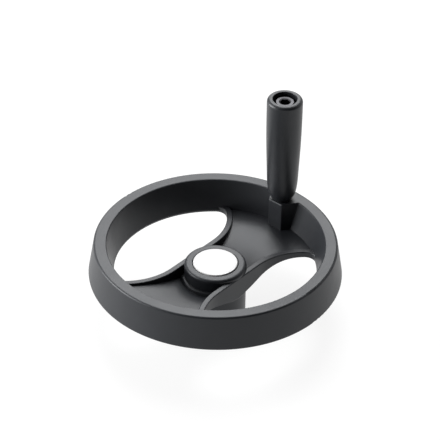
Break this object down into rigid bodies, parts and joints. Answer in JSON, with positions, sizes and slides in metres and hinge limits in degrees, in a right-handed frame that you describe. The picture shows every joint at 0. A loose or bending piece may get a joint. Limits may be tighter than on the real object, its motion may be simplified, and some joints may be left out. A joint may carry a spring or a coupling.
{
  "type": "machine handwheel",
  "caption": "Two-spoke machine handwheel with a flat-topped rim, a capped hub with a steel bush, and a tall revolving grip that stands on the rim.",
  "frame": {"origin": "on the wheel's axis, at the hub's lower face, which seats against the shaft's shoulder", "axes": "+Z along the wheel's axis towards the grip, +X from the hub towards the grip, +Y across the spokes"},
  "size_m": [0.1598, 0.1598, 0.1295],
  "materials": {
    "black_plastic": "fine matt grain",
    "grip_plastic": "fine matt grain",
    "white_plastic": "smooth satin",
    "bush_steel": "turned",
    "insert_brass": "turned",
    "spindle_steel": "dark satin"
  },
  "bodies": {
    "wheel": {"wheel_body": "black_plastic", "hub_bush": "bush_steel", "hub_cap": "white_plastic", "boss_insert": "insert_brass", "spindle": "spindle_steel"},
    "grip": {"grip": "grip_plastic"}
  },
  "joints": [
    {"name": "grip_spin", "type": "hinge", "parent": "wheel", "child": "grip", "pos_m": [0.0648, 0, 0.09], "axis": [0, 0, 1], "continuous": true}
  ]
}
